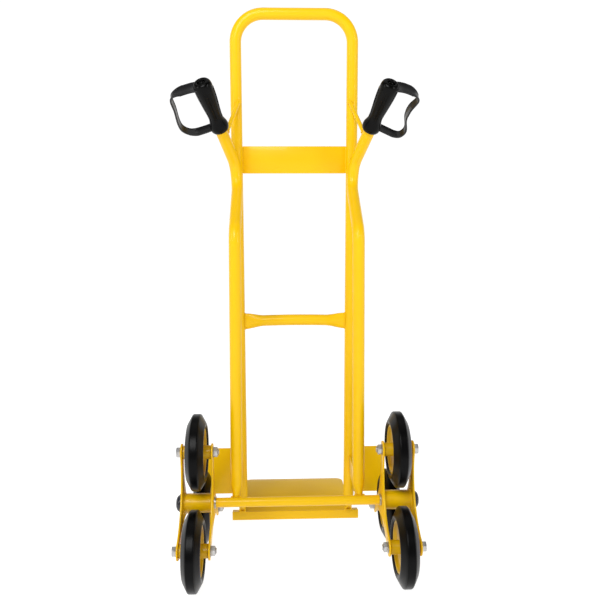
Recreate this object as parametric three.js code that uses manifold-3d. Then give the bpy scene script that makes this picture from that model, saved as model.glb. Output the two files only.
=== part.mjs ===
// Stair-climbing hand truck: welded steel tube frame, toe plate, two tri-star wheel clusters
// with three solid-tyred wheels each, and two angled handles with hand guards.
// Units are millimetres. +Z is up, +Y points to the load side (toe plate), +X is the right hand
// of the person pushing. The truck stands on its wheels and its toe plate at z = 0.

import * as THREE from 'three';
import * as BufferGeometryUtils from 'three/addons/utils/BufferGeometryUtils.js';
import Module from 'manifold-3d';

const wasm = await Module();
wasm.setup();

// ---------------------------------------------------------------- driving dimensions

const GAP = 0.3;                    // weld or contact gap kept between neighbouring pieces
const TUBE_RADIUS = 12.5;
const TUBE_SIDES = 14;
const BEND_STEP = Math.PI / 12;     // one ring of a tube bend turns by this angle

const LOOP_HALF_WIDTH = 127.5;      // centre of the loop legs from the middle plane
const LOOP_TOP = 1165;              // centre of the top tube
const LOOP_BEND = 60;
const FOOT_PINCH_START = 69;        // the legs are pinched flat below this height
const FOOT_PINCH_END = 46;
const FOOT_HALF_THICKNESS = 8;
const FOOT_REAR_REACH = 16;         // of the pinched foot behind the leg's middle
const FOOT_FRONT_REACH = 10;

const RAIL_OFFSET = 160;            // rear rails behind the loop plane
const RAIL_FOOT_Z = 126;
const RAIL_FOOT_X = 131.4;
const RAIL_PINCH_START = 172;       // the rails are pinched narrow below this height
const RAIL_PINCH_END = 150;
const RAIL_FOOT_HALF_WIDTH = 7;
const RAIL_FOOT_HALF_DEPTH = 17;
const RAIL_FOOT_SET_BACK = 3;       // the pinched end moves this far towards the axle
const RAIL_LOWER_BEND_Z = 702;
const RAIL_UPPER_BEND_Z = 796;
const RAIL_UPPER_X = 126;
const RAIL_BEND = 45;
const RAIL_CONTACT_Y = -25.8;       // rail centre where it lies against the loop leg

const HANDLE_CORNER = new THREE.Vector3(130.2, RAIL_CONTACT_Y, 843.8);
const HANDLE_DIRECTION = new THREE.Vector3(26.5, -70.5, 71.5).normalize();
const HANDLE_TUBE_LENGTH = 208;
const GRIP_START = 99;              // along the handle from its corner
const GRIP_LENGTH = 120;
const GRIP_BORE_DEPTH = 111;

const GUARD_STRAP_WIDTH = 20;
const GUARD_STRAP_THICKNESS = 3.6;
const GUARD_ORIGIN = 110;           // along the handle from its corner

const BRACE_RADIUS = 4.5;
const BRACE_TOP = new THREE.Vector3(122.3, -12, 978);
const BRACE_BOTTOM = new THREE.Vector3(145.2, -79.5, 905.5);

const CROSS_PLATE_LOW = 825.5;
const CROSS_PLATE_HIGH = 885;
const CROSS_PLATE_THICKNESS = 3;
const CROSS_PLATE_Y = 3;
const CROSSBAR_Z = 493;
const CROSSBAR_END_HALF_HEIGHT = 18.5;
const CROSSBAR_END_HALF_THICKNESS = 5;
const CROSSBAR_FLAT_LENGTH = 45;
const CROSSBAR_DROP = 2.7;          // the ends sit this much lower than the middle

const TOE_TOP = 21.3;
const TOE_HALF_WIDTH = 131;
const TOE_THICKNESS = 4;
const TOE_REAR = 7;
const TOE_FRONT = 199;
const TOE_CORNER = 18;
const ANGLE_HALF_WIDTH = 152.5;
const ANGLE_THICKNESS = 3;
const ANGLE_DEPTH = 22;

const WHEEL_GUARD_INNER = 116.5;
const WHEEL_GUARD_OUTER = 212;
const WHEEL_GUARD_LOW = 66;
const WHEEL_GUARD_HIGH = 180;
const WHEEL_GUARD_THICKNESS = 3;

const WHEEL_RADIUS = 79;
const CLUSTER_RADIUS = 112;         // bolts from the axle
const AXLE_Y = -183;
const AXLE_Z = WHEEL_RADIUS + CLUSTER_RADIUS / 2;
const WHEEL_X = 210.5;              // middle of each cluster
const PLATE_OFFSET = 31.5;          // star plates either side of the cluster's middle
const PLATE_THICKNESS = 3.5;
const LOBE_RADIUS = 18;
const WEB_RADIUS = 36;              // nearest the star's edge comes to the axle
const AXLE_ROD_RADIUS = 8;
const AXLE_TUBE_RADIUS = 10;
const AXLE_TUBE_HALF_LENGTH = 173;
const AXLE_BORE = AXLE_ROD_RADIUS + GAP;
const HUB_SLEEVE_RADIUS = 20;
const WASHER_RADIUS = 12;
const CAP_RADIUS = 20;
const CAP_HEIGHT = 13;
const ROD_IN_CAP = 5;
const LINK_THICKNESS = 5;
const LINK_X = 129.5;
const LINK_LOW = 126;
const LINK_HIGH = 168;

const TYRE_BORE = 51.3;
const BOSS_RADIUS = 14;
const BOSS_HALF_LENGTH = 25;
const BUSH_RADIUS = 10.5;
const BOLT_RADIUS = 6;
const HEX_RADIUS = 11;              // across corners, for a 19 mm spanner
const HEAD_HEIGHT = 9;
const NUT_HEIGHT = 10;
const THREAD_END = 2;               // bolt past its nut

// The origin is on the floor, in the middle of the truck's outline seen from above.
const REARMOST = AXLE_Y - CLUSTER_RADIUS * Math.cos(Math.PI / 6) - WHEEL_RADIUS;
const ORIGIN_SHIFT_Y = -(REARMOST + TOE_FRONT) / 2;

// ---------------------------------------------------------------- materials

function finish(name, color, roughness, metalness) {
  const material = new THREE.MeshStandardMaterial({ color, roughness, metalness });
  material.name = name;
  return material;
}

const yellowPaint = finish('yellow_paint', 0xf7c300, 0.4, 0.0);
const tyreRubber = finish('tyre_rubber', 0x1c1c1d, 0.75, 0.0);
const gripRubber = finish('grip_rubber', 0x0f0f0e, 0.85, 0.0);
const guardPlastic = finish('guard_plastic', 0x1d1d1f, 0.45, 0.0);
const capPlastic = finish('cap_plastic', 0x20222b, 0.25, 0.0);
const zincSteel = finish('zinc_steel', 0xc2c2c4, 0.3, 0.9);
const bushPlastic = finish('bush_plastic', 0x3a2a18, 0.6, 0.0);

// ---------------------------------------------------------------- shape helpers

const truck = new THREE.Group();
truck.name = 'stair_hand_truck';
truck.position.y = ORIGIN_SHIFT_Y;

function addPiece(name, geometry, material, position) {
  const mesh = new THREE.Mesh(geometry, material);
  mesh.name = name;
  if (position) mesh.position.copy(position);
  truck.add(mesh);
  return mesh;
}

function solidOf(geometry) {
  const bare = geometry.clone();
  bare.deleteAttribute('normal');
  bare.deleteAttribute('uv');
  const merged = BufferGeometryUtils.mergeVertices(bare, 1e-4);
  const vertProperties = new Float32Array(merged.attributes.position.array);
  const triVerts = new Uint32Array(merged.index.array);
  return new wasm.Manifold(new wasm.Mesh({ numProp: 3, vertProperties, triVerts }));
}

function geometryOf(solid) {
  const mesh = solid.getMesh();
  const geometry = new THREE.BufferGeometry();
  geometry.setAttribute('position', new THREE.BufferAttribute(mesh.vertProperties, 3));
  geometry.setIndex(new THREE.BufferAttribute(mesh.triVerts, 1));
  geometry.computeVertexNormals();
  return geometry;
}

function cut(geometry, tools) {
  return geometryOf(tools.reduce((solid, tool) => solid.subtract(solidOf(tool)), solidOf(geometry)));
}

function boxBetween(low, high) {
  const box = new THREE.BoxGeometry(high[0] - low[0], high[1] - low[1], high[2] - low[2]);
  return box.translate((low[0] + high[0]) / 2, (low[1] + high[1]) / 2, (low[2] + high[2]) / 2);
}

function ringOutline(radius, sides) {
  const points = [];
  for (let i = 0; i < sides; i += 1) {
    const angle = (i / sides) * 2 * Math.PI;
    points.push(new THREE.Vector2(radius * Math.cos(angle), radius * Math.sin(angle)));
  }
  return points;
}

// A round bar or tube between two points.
function barBetween(from, to, radius, sides) {
  const length = from.distanceTo(to);
  const bar = new THREE.CylinderGeometry(radius, radius, length, sides);
  const turn = new THREE.Quaternion().setFromUnitVectors(
    new THREE.Vector3(0, 1, 0),
    to.clone().sub(from).normalize(),
  );
  bar.applyQuaternion(turn);
  const middle = from.clone().add(to).multiplyScalar(0.5);
  return bar.translate(middle.x, middle.y, middle.z);
}

// A turned shape about the X axis, from a profile of [radius, x] points.
function turnedAboutX(profile, segments) {
  const points = profile.map(([radius, x]) => new THREE.Vector2(radius, x));
  return new THREE.LatheGeometry(points, segments).rotateZ(-Math.PI / 2);
}

function closedProfile(points) {
  return [...points, points[0]];
}

function mirrored(geometry) {
  const copy = geometry.clone().scale(-1, 1, 1);
  const flat = copy.index ? copy.toNonIndexed() : copy;
  const position = flat.attributes.position;
  for (let i = 0; i < position.count; i += 3) {
    const second = new THREE.Vector3().fromBufferAttribute(position, i + 1);
    const third = new THREE.Vector3().fromBufferAttribute(position, i + 2);
    position.setXYZ(i + 1, third.x, third.y, third.z);
    position.setXYZ(i + 2, second.x, second.y, second.z);
  }
  flat.computeVertexNormals();
  return flat;
}

// The route of a bent tube: straight runs between corners, each corner rounded to an arc.
// Its points sit where the tube needs a ring, so straight runs stay single steps.
class BentRoute extends THREE.Curve {
  constructor(corners) {
    super();
    this.stations = [];
    this.tangents = [];
    corners.forEach((corner, i) => this.addCorner(corners, corner, i));
  }

  addStation(point, tangent) {
    this.stations.push(point);
    this.tangents.push(tangent.clone().normalize());
  }

  addCorner(corners, corner, i) {
    const before = corners[Math.max(i - 1, 0)].at;
    const after = corners[Math.min(i + 1, corners.length - 1)].at;
    const arriving = corner.at.clone().sub(before).normalize();
    const leaving = after.clone().sub(corner.at).normalize();
    if (i === 0 || i === corners.length - 1 || !corner.bend) {
      this.addStation(corner.at.clone(), arriving.clone().add(leaving));
      return;
    }
    const turn = arriving.angleTo(leaving);
    const inward = leaving.clone().sub(arriving).normalize();
    const centre = corner.at.clone().addScaledVector(inward, corner.bend / Math.cos(turn / 2));
    const steps = Math.ceil(turn / BEND_STEP);
    const side = inward.clone().negate();
    const along = arriving.clone().add(leaving).normalize();
    for (let k = 0; k <= steps; k += 1) {
      const angle = (k / steps - 0.5) * turn;
      const spoke = side.clone().multiplyScalar(Math.cos(angle));
      spoke.addScaledVector(along, Math.sin(angle));
      const tangent = along.clone().multiplyScalar(Math.cos(angle));
      tangent.addScaledVector(side, -Math.sin(angle));
      this.addStation(centre.clone().addScaledVector(spoke, corner.bend), tangent);
    }
  }

  getPoint(t, target = new THREE.Vector3()) {
    return this.between(this.stations, t, target);
  }

  getTangentAt(t, target = new THREE.Vector3()) {
    return this.between(this.tangents, t, target).normalize();
  }

  getPointAt(t, target) {
    return this.getPoint(t, target);
  }

  between(list, t, target) {
    const place = t * (list.length - 1);
    const index = Math.min(Math.round(place), list.length - 1);
    return target.copy(list[index]);
  }
}

function tubeAlong(corners, radius, sides) {
  const route = new BentRoute(corners);
  const section = new THREE.Shape(ringOutline(radius, sides));
  const steps = route.stations.length - 1;
  return new THREE.ExtrudeGeometry(section, { steps, extrudePath: route, bevelEnabled: false });
}

function moveVertices(geometry, move) {
  const position = geometry.attributes.position;
  const vertex = new THREE.Vector3();
  for (let i = 0; i < position.count; i += 1) {
    vertex.fromBufferAttribute(position, i);
    move(vertex);
    position.setXYZ(i, vertex.x, vertex.y, vertex.z);
  }
  return geometry;
}

function at(x, y, z, bend = 0) {
  return { at: new THREE.Vector3(x, y, z), bend };
}

// ---------------------------------------------------------------- loop frame

// One tube bent to an upside-down U. Its two feet are pinched flat and cut back behind.
function loopFrame() {
  const foot = TOE_TOP + GAP;
  const middle = (FOOT_PINCH_START + FOOT_PINCH_END) / 2;
  const leg = [foot, FOOT_PINCH_END, middle, FOOT_PINCH_START];
  const corners = [
    ...leg.map((z) => at(-LOOP_HALF_WIDTH, 0, z)),
    at(-LOOP_HALF_WIDTH, 0, LOOP_TOP, LOOP_BEND),
    at(LOOP_HALF_WIDTH, 0, LOOP_TOP, LOOP_BEND),
    ...leg.reverse().map((z) => at(LOOP_HALF_WIDTH, 0, z)),
  ];
  const tube = tubeAlong(corners, TUBE_RADIUS, TUBE_SIDES);
  moveVertices(tube, (vertex) => {
    const pinch = THREE.MathUtils.smoothstep(-vertex.z, -FOOT_PINCH_START, -FOOT_PINCH_END);
    const centre = Math.sign(vertex.x) * LOOP_HALF_WIDTH;
    const thinner = 1 + (FOOT_HALF_THICKNESS / TUBE_RADIUS - 1) * pinch;
    const reach = vertex.y > 0 ? FOOT_FRONT_REACH : FOOT_REAR_REACH;
    const deeper = 1 + (reach / TUBE_RADIUS - 1) * pinch;
    vertex.x = centre + (vertex.x - centre) * thinner;
    vertex.y *= deeper;
  });
  const backCut = new THREE.Shape([
    new THREE.Vector2(-30, 10),
    new THREE.Vector2(TOE_REAR - GAP, 10),
    new THREE.Vector2(TOE_REAR - GAP, foot + 0.5),
    new THREE.Vector2(-FOOT_REAR_REACH - 1, 42),
    new THREE.Vector2(-30, 54),
  ]);
  const wedge = new THREE.ExtrudeGeometry(backCut, { depth: 60, bevelEnabled: false });
  wedge.applyMatrix4(new THREE.Matrix4().makeBasis(
    new THREE.Vector3(0, 1, 0),
    new THREE.Vector3(0, 0, 1),
    new THREE.Vector3(1, 0, 0),
  ));
  const rightWedge = wedge.clone().translate(LOOP_HALF_WIDTH - 30, 0, 0);
  const leftWedge = wedge.clone().translate(-LOOP_HALF_WIDTH - 30, 0, 0);
  return cut(tube, [rightWedge, leftWedge]);
}

addPiece('loop_frame', loopFrame(), yellowPaint);

// Flat plate welded between the loop legs.
function crossPlate() {
  const end = LOOP_HALF_WIDTH - TUBE_RADIUS - GAP;
  const back = CROSS_PLATE_Y - CROSS_PLATE_THICKNESS / 2;
  const front = CROSS_PLATE_Y + CROSS_PLATE_THICKNESS / 2;
  return boxBetween([-end, back, CROSS_PLATE_LOW], [end, front, CROSS_PLATE_HIGH]);
}

addPiece('cross_plate', crossPlate(), yellowPaint);

// Tube between the loop legs with its ends pressed flat and tall.
function crossbar() {
  const end = LOOP_HALF_WIDTH - TUBE_RADIUS - GAP;
  const stops = [1, 0.86, 0.72, 0.58, 0.3];
  const corners = [
    ...stops.map((part) => at(-end * part, 0, CROSSBAR_Z)),
    ...stops.reverse().map((part) => at(end * part, 0, CROSSBAR_Z)),
  ];
  const bar = tubeAlong(corners, TUBE_RADIUS, TUBE_SIDES);
  return moveVertices(bar, (vertex) => {
    const reach = Math.abs(vertex.x) - (end - CROSSBAR_FLAT_LENGTH);
    const press = THREE.MathUtils.smoothstep(reach, 0, CROSSBAR_FLAT_LENGTH);
    const taller = 1 + (CROSSBAR_END_HALF_HEIGHT / TUBE_RADIUS - 1) * press;
    const thinner = 1 + (CROSSBAR_END_HALF_THICKNESS / TUBE_RADIUS - 1) * press;
    vertex.y *= thinner;
    vertex.z = CROSSBAR_Z + (vertex.z - CROSSBAR_Z) * taller - CROSSBAR_DROP * (vertex.x / end) ** 2;
  });
}

addPiece('crossbar', crossbar(), yellowPaint);

// ---------------------------------------------------------------- rear rails and handles

function alongHandle(distance) {
  return HANDLE_CORNER.clone().addScaledVector(HANDLE_DIRECTION, distance);
}

// Bars as fat as the legs and handle tubes, with the weld gap, that cut the pieces meeting them.
function legCutter() {
  const low = new THREE.Vector3(LOOP_HALF_WIDTH, 0, 0);
  const high = new THREE.Vector3(LOOP_HALF_WIDTH, 0, LOOP_TOP - LOOP_BEND);
  return barBetween(low, high, TUBE_RADIUS + GAP, 28);
}

function handleCutter() {
  return barBetween(alongHandle(0), alongHandle(HANDLE_TUBE_LENGTH), TUBE_RADIUS + GAP, 28);
}

function axleCutter() {
  const inner = new THREE.Vector3(0, AXLE_Y, AXLE_Z);
  const outer = new THREE.Vector3(2 * LOOP_HALF_WIDTH, AXLE_Y, AXLE_Z);
  return barBetween(inner, outer, AXLE_TUBE_RADIUS + GAP, 28);
}

// Right rear rail: from the axle tube up, forward to lie against the leg, then back and outward
// as the handle tube. Its foot is pinched narrow where it is welded to the axle tube.
function rearRail() {
  const slope = (RAIL_FOOT_X - RAIL_UPPER_X) / (RAIL_LOWER_BEND_Z - RAIL_FOOT_Z);
  const middle = (RAIL_PINCH_START + RAIL_PINCH_END) / 2;
  const foot = [RAIL_FOOT_Z, RAIL_PINCH_END, middle, RAIL_PINCH_START];
  const corners = [
    ...foot.map((z) => at(RAIL_FOOT_X - slope * (z - RAIL_FOOT_Z), -RAIL_OFFSET, z)),
    at(RAIL_UPPER_X, -RAIL_OFFSET, RAIL_LOWER_BEND_Z, RAIL_BEND),
    at(RAIL_UPPER_X, RAIL_CONTACT_Y, RAIL_UPPER_BEND_Z, RAIL_BEND),
    { at: HANDLE_CORNER.clone(), bend: RAIL_BEND },
    { at: alongHandle(HANDLE_TUBE_LENGTH), bend: 0 },
  ];
  const tube = tubeAlong(corners, TUBE_RADIUS, TUBE_SIDES);
  moveVertices(tube, (vertex) => {
    const pinch = THREE.MathUtils.smoothstep(-vertex.z, -RAIL_PINCH_START, -RAIL_PINCH_END);
    const narrower = 1 + (RAIL_FOOT_HALF_WIDTH / TUBE_RADIUS - 1) * pinch;
    const deeper = 1 + (RAIL_FOOT_HALF_DEPTH / TUBE_RADIUS - 1) * pinch;
    const centre = RAIL_FOOT_X - slope * (vertex.z - RAIL_FOOT_Z);
    if (pinch === 0) return;
    vertex.x = centre + (vertex.x - centre) * narrower;
    vertex.y = -RAIL_OFFSET - RAIL_FOOT_SET_BACK * pinch + (vertex.y + RAIL_OFFSET) * deeper;
  });
  return cut(tube, [legCutter(), axleCutter()]);
}

const rail = rearRail();
addPiece('right_rear_rail', rail, yellowPaint);
addPiece('left_rear_rail', mirrored(rail), yellowPaint);

// Rod that props the handle tube from the loop leg.
const brace = cut(barBetween(BRACE_TOP, BRACE_BOTTOM, BRACE_RADIUS, 12), [legCutter(), handleCutter()]);
addPiece('right_handle_brace', brace, yellowPaint);
addPiece('left_handle_brace', mirrored(brace), yellowPaint);

// Handle axes: the grip and its guard share them. "out" points away from the truck.
function handleAxes() {
  const up = HANDLE_DIRECTION.clone();
  const out = new THREE.Vector3(1, 0, 0);
  out.addScaledVector(up, -out.dot(up)).normalize();
  return { up, out, across: out.clone().cross(up) };
}

// Rubber grip: bulbous collar, slim neck, swelling to a domed and dished end.
function grip() {
  const bore = TUBE_RADIUS + GAP;
  const end = GRIP_LENGTH;
  const profile = closedProfile([
    [bore, 0], [16, 0], [18.6, 4], [19.6, 10], [18.6, 17], [15.2, 26], [14.2, 36], [16.4, 61],
    [18.6, 85], [19.3, 102], [18.7, end - 8], [16, end - 2.5], [12, end], [8, end], [6.5, end - 3],
    [0, end - 3], [0, GRIP_BORE_DEPTH], [bore, GRIP_BORE_DEPTH],
  ]);
  const points = profile.map(([radius, height]) => new THREE.Vector2(radius, height));
  const shape = new THREE.LatheGeometry(points, 24);
  const { up, out, across } = handleAxes();
  const basis = new THREE.Matrix4().makeBasis(out, up, across);
  basis.setPosition(alongHandle(GRIP_START));
  return shape.applyMatrix4(basis);
}

const gripShape = grip();
addPiece('right_grip', gripShape, gripRubber);
addPiece('left_grip', mirrored(gripShape), gripRubber);

// Hand guard: a moulded strap from the end of the grip, out and round, to its collar. Its middle
// line is given as [outward, along the handle] from the collar. The right one is waisted.
const LEFT_GUARD_LINE = [
  [19, 99], [38, 98.8], [57, 95.5], [69.5, 85], [72, 59], [77, 29], [75, 12], [64, 0],
  [50, -4], [20.6, -1],
];
const RIGHT_GUARD_LINE = [
  [19, 102], [37, 102.5], [55, 98], [66, 86], [59.5, 62], [60, 38], [71, 11], [66, -5],
  [53, -8], [20.6, 0],
];

function handGuard(line) {
  const middle = new THREE.SplineCurve(line.map(([out, up]) => new THREE.Vector2(out, up)));
  const count = 40;
  const half = GUARD_STRAP_THICKNESS / 2;
  const outer = [];
  const inner = [];
  for (let i = 0; i <= count; i += 1) {
    const point = middle.getPoint(i / count);
    const tangent = middle.getTangent(i / count);
    const side = new THREE.Vector2(-tangent.y, tangent.x).multiplyScalar(half);
    outer.push(point.clone().add(side));
    inner.push(point.clone().sub(side));
  }
  const band = new THREE.Shape([...outer, ...inner.reverse()]);
  const strap = new THREE.ExtrudeGeometry(band, { depth: GUARD_STRAP_WIDTH, bevelEnabled: false });
  strap.translate(0, 0, -GUARD_STRAP_WIDTH / 2);
  const { up, out, across } = handleAxes();
  const basis = new THREE.Matrix4().makeBasis(out, up, across);
  basis.setPosition(alongHandle(GUARD_ORIGIN));
  return strap.applyMatrix4(basis);
}

addPiece('right_hand_guard', handGuard(RIGHT_GUARD_LINE), guardPlastic);
addPiece('left_hand_guard', mirrored(handGuard(LEFT_GUARD_LINE)), guardPlastic);

// ---------------------------------------------------------------- toe plate and wheel guards

function toePlate() {
  const rear = TOE_REAR + ANGLE_THICKNESS + GAP;
  const outline = new THREE.Shape();
  outline.moveTo(-TOE_HALF_WIDTH, rear);
  outline.lineTo(TOE_HALF_WIDTH, rear);
  outline.lineTo(TOE_HALF_WIDTH, TOE_FRONT - TOE_CORNER);
  outline.absarc(TOE_HALF_WIDTH - TOE_CORNER, TOE_FRONT - TOE_CORNER, TOE_CORNER, 0, Math.PI / 2);
  outline.absarc(-TOE_HALF_WIDTH + TOE_CORNER, TOE_FRONT - TOE_CORNER, TOE_CORNER, Math.PI / 2, Math.PI);
  outline.closePath();
  const options = { depth: TOE_THICKNESS, bevelEnabled: false, curveSegments: 8 };
  return new THREE.ExtrudeGeometry(outline, options).translate(0, 0, TOE_TOP - TOE_THICKNESS);
}

addPiece('toe_plate', toePlate(), yellowPaint);

// Angle along the back of the toe plate: its upright leg stands on the floor.
function toeAngle() {
  const shelf = TOE_TOP - TOE_THICKNESS - GAP;
  const section = new THREE.Shape([
    new THREE.Vector2(TOE_REAR, 0),
    new THREE.Vector2(TOE_REAR + ANGLE_THICKNESS, 0),
    new THREE.Vector2(TOE_REAR + ANGLE_THICKNESS, shelf - ANGLE_THICKNESS),
    new THREE.Vector2(TOE_REAR + ANGLE_DEPTH, shelf - ANGLE_THICKNESS),
    new THREE.Vector2(TOE_REAR + ANGLE_DEPTH, shelf),
    new THREE.Vector2(TOE_REAR + ANGLE_THICKNESS, shelf),
    new THREE.Vector2(TOE_REAR + ANGLE_THICKNESS, TOE_TOP),
    new THREE.Vector2(TOE_REAR, TOE_TOP),
  ]);
  const depth = 2 * ANGLE_HALF_WIDTH;
  const bar = new THREE.ExtrudeGeometry(section, { depth, bevelEnabled: false });
  bar.translate(0, 0, -ANGLE_HALF_WIDTH);
  return bar.applyMatrix4(new THREE.Matrix4().makeBasis(
    new THREE.Vector3(0, 1, 0),
    new THREE.Vector3(0, 0, 1),
    new THREE.Vector3(1, 0, 0),
  ));
}

addPiece('toe_angle', toeAngle(), yellowPaint);

const guardBack = TUBE_RADIUS + GAP;
const wheelGuard = boxBetween(
  [WHEEL_GUARD_INNER, guardBack, WHEEL_GUARD_LOW],
  [WHEEL_GUARD_OUTER, guardBack + WHEEL_GUARD_THICKNESS, WHEEL_GUARD_HIGH],
);
addPiece('right_wheel_guard', wheelGuard, yellowPaint);
addPiece('left_wheel_guard', mirrored(wheelGuard), yellowPaint);

// ---------------------------------------------------------------- axle

const axle = new THREE.Vector3(0, AXLE_Y, AXLE_Z);
const innerFace = WHEEL_X - PLATE_OFFSET - PLATE_THICKNESS / 2;
const outerFace = WHEEL_X + PLATE_OFFSET + PLATE_THICKNESS / 2;
const betweenPlates = PLATE_OFFSET - PLATE_THICKNESS / 2;

function sleeveAboutX(radius, bore, from, to, segments) {
  return turnedAboutX(closedProfile([[bore, from], [radius, from], [radius, to], [bore, to]]), segments);
}

const tubeEnd = AXLE_TUBE_HALF_LENGTH;
const axleTube = sleeveAboutX(AXLE_TUBE_RADIUS, AXLE_BORE, -tubeEnd, tubeEnd, 20);
addPiece('axle_tube', axleTube, yellowPaint, axle);

const rodEnd = outerFace + GAP + ROD_IN_CAP;
const axleRod = turnedAboutX([[0, -rodEnd], [AXLE_ROD_RADIUS, -rodEnd], [AXLE_ROD_RADIUS, rodEnd], [0, rodEnd]], 20);
addPiece('axle_rod', axleRod, zincSteel, axle);

// Flat link welded between the back of the loop leg and the foot of the rear rail.
function axleLink() {
  const rear = -RAIL_OFFSET - RAIL_FOOT_SET_BACK + RAIL_FOOT_HALF_DEPTH + GAP;
  const half = LINK_THICKNESS / 2;
  const plate = boxBetween([LINK_X - half, rear, LINK_LOW], [LINK_X + half, -5, LINK_HIGH]);
  return cut(plate, [legCutter()]);
}

const link = axleLink();
addPiece('right_axle_link', link, yellowPaint);
addPiece('left_axle_link', mirrored(link), yellowPaint);

// ---------------------------------------------------------------- clusters

const SIDES = [{ side: 'right', hand: 1 }, { side: 'left', hand: -1 }];
const ARMS = [
  { arm: 'top', angle: Math.PI / 2 },
  { arm: 'rear', angle: (7 * Math.PI) / 6 },
  { arm: 'front', angle: (11 * Math.PI) / 6 },
];

function polar(radius, angle) {
  return new THREE.Vector2(radius * Math.cos(angle), radius * Math.sin(angle));
}

// Three-armed star: round lobes round the bolts, joined by hollow curves.
function starPlate() {
  const hollow = (WEB_RADIUS ** 2 + CLUSTER_RADIUS ** 2 - CLUSTER_RADIUS * WEB_RADIUS - LOBE_RADIUS ** 2)
    / (2 * LOBE_RADIUS + CLUSTER_RADIUS - 2 * WEB_RADIUS);
  const outline = new THREE.Shape();
  ARMS.forEach(({ angle }) => {
    const lobe = polar(CLUSTER_RADIUS, angle);
    const before = polar(WEB_RADIUS + hollow, angle - Math.PI / 3);
    const after = polar(WEB_RADIUS + hollow, angle + Math.PI / 3);
    const start = before.clone().sub(lobe).angle();
    const end = after.clone().sub(lobe).angle();
    outline.absarc(lobe.x, lobe.y, LOBE_RADIUS, start, end, false);
    const next = polar(CLUSTER_RADIUS, angle + (2 * Math.PI) / 3);
    const leave = lobe.clone().sub(after).angle();
    const arrive = next.clone().sub(after).angle();
    outline.absarc(after.x, after.y, hollow, leave, arrive, true);
  });
  const holes = ARMS.map(({ angle }) => ({ centre: polar(CLUSTER_RADIUS, angle), radius: BOLT_RADIUS + GAP }));
  holes.push({ centre: new THREE.Vector2(0, 0), radius: AXLE_BORE });
  holes.forEach(({ centre, radius }) => {
    const ring = ringOutline(radius, 16).map((point) => point.add(centre)).reverse();
    outline.holes.push(new THREE.Path(ring));
  });
  const options = { depth: PLATE_THICKNESS, bevelEnabled: false, curveSegments: 9 };
  const plate = new THREE.ExtrudeGeometry(outline, options);
  plate.translate(0, 0, -PLATE_THICKNESS / 2);
  return plate.applyMatrix4(new THREE.Matrix4().makeBasis(
    new THREE.Vector3(0, 1, 0),
    new THREE.Vector3(0, 0, 1),
    new THREE.Vector3(1, 0, 0),
  ));
}

// Hexagon prism along X, from one x to another.
function hexPrism(from, to) {
  const prism = new THREE.CylinderGeometry(HEX_RADIUS, HEX_RADIUS, to - from, 6);
  return prism.rotateZ(-Math.PI / 2).translate((from + to) / 2, 0, 0);
}

// Hexagon-headed bolt, head outside, seen from the wheel's middle.
function clusterBolt() {
  const head = outerFace - WHEEL_X + GAP;
  const tip = innerFace - WHEEL_X - GAP - NUT_HEIGHT - THREAD_END;
  const shank = turnedAboutX([[0, tip], [BOLT_RADIUS, tip], [BOLT_RADIUS, head + 1], [0, head + 1]], 16);
  return geometryOf(solidOf(hexPrism(head, head + HEAD_HEIGHT)).add(solidOf(shank)));
}

function clusterNut() {
  const face = innerFace - WHEEL_X - GAP;
  const thread = turnedAboutX([
    [0, face - NUT_HEIGHT - 1], [BOLT_RADIUS + GAP, face - NUT_HEIGHT - 1],
    [BOLT_RADIUS + GAP, face + 1], [0, face + 1],
  ], 16);
  return cut(hexPrism(face - NUT_HEIGHT, face), [thread]);
}

// Solid tyre: narrow flat tread, sloping shoulders, bulging walls.
function tyre() {
  const left = [
    [TYRE_BORE, -15.5], [TYRE_BORE + 2.5, -18], [57, -18.8], [61, -17.6], [77.5, -8.4],
    [WHEEL_RADIUS, -6.3],
  ];
  const right = left.map(([radius, x]) => [radius, -x]).reverse();
  return turnedAboutX(closedProfile([...left, ...right]), 32);
}

// Dished rim with its hub boss.
function rim() {
  const bore = BUSH_RADIUS + GAP;
  const seat = TYRE_BORE - GAP;
  const left = [
    [bore, -BOSS_HALF_LENGTH], [BOSS_RADIUS, -BOSS_HALF_LENGTH], [BOSS_RADIUS + 1.5, -8],
    [42, -6], [46.5, -14.5], [seat, -14.5],
  ];
  const right = left.map(([radius, x]) => [radius, -x]).reverse();
  return turnedAboutX(closedProfile([...left, ...right]), 24);
}

function bush() {
  const end = betweenPlates - GAP;
  return sleeveAboutX(BUSH_RADIUS, BOLT_RADIUS + GAP, -end, end, 16);
}

// Domed cap over the axle's end, seen from the axle's middle.
function axleCap() {
  const face = outerFace + GAP;
  const socket = rodEnd + GAP;
  return turnedAboutX([
    [0, socket], [AXLE_BORE, socket], [AXLE_BORE, face], [CAP_RADIUS, face], [CAP_RADIUS, face + 3],
    [18, face + 7], [13.5, face + 10.4], [7, face + 12.4], [0, face + CAP_HEIGHT],
  ], 24);
}

function facing(hand, geometry) {
  return hand > 0 ? geometry : mirrored(geometry);
}

const washer = sleeveAboutX(WASHER_RADIUS, AXLE_BORE, tubeEnd + GAP, innerFace - GAP, 20);
const hubSleeve = sleeveAboutX(HUB_SLEEVE_RADIUS, AXLE_BORE, GAP - betweenPlates, betweenPlates - GAP, 24);
const shapes = {
  star: starPlate(), bolt: clusterBolt(), nut: clusterNut(), tyre: tyre(), rim: rim(), bush: bush(),
  cap: axleCap(),
};

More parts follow.
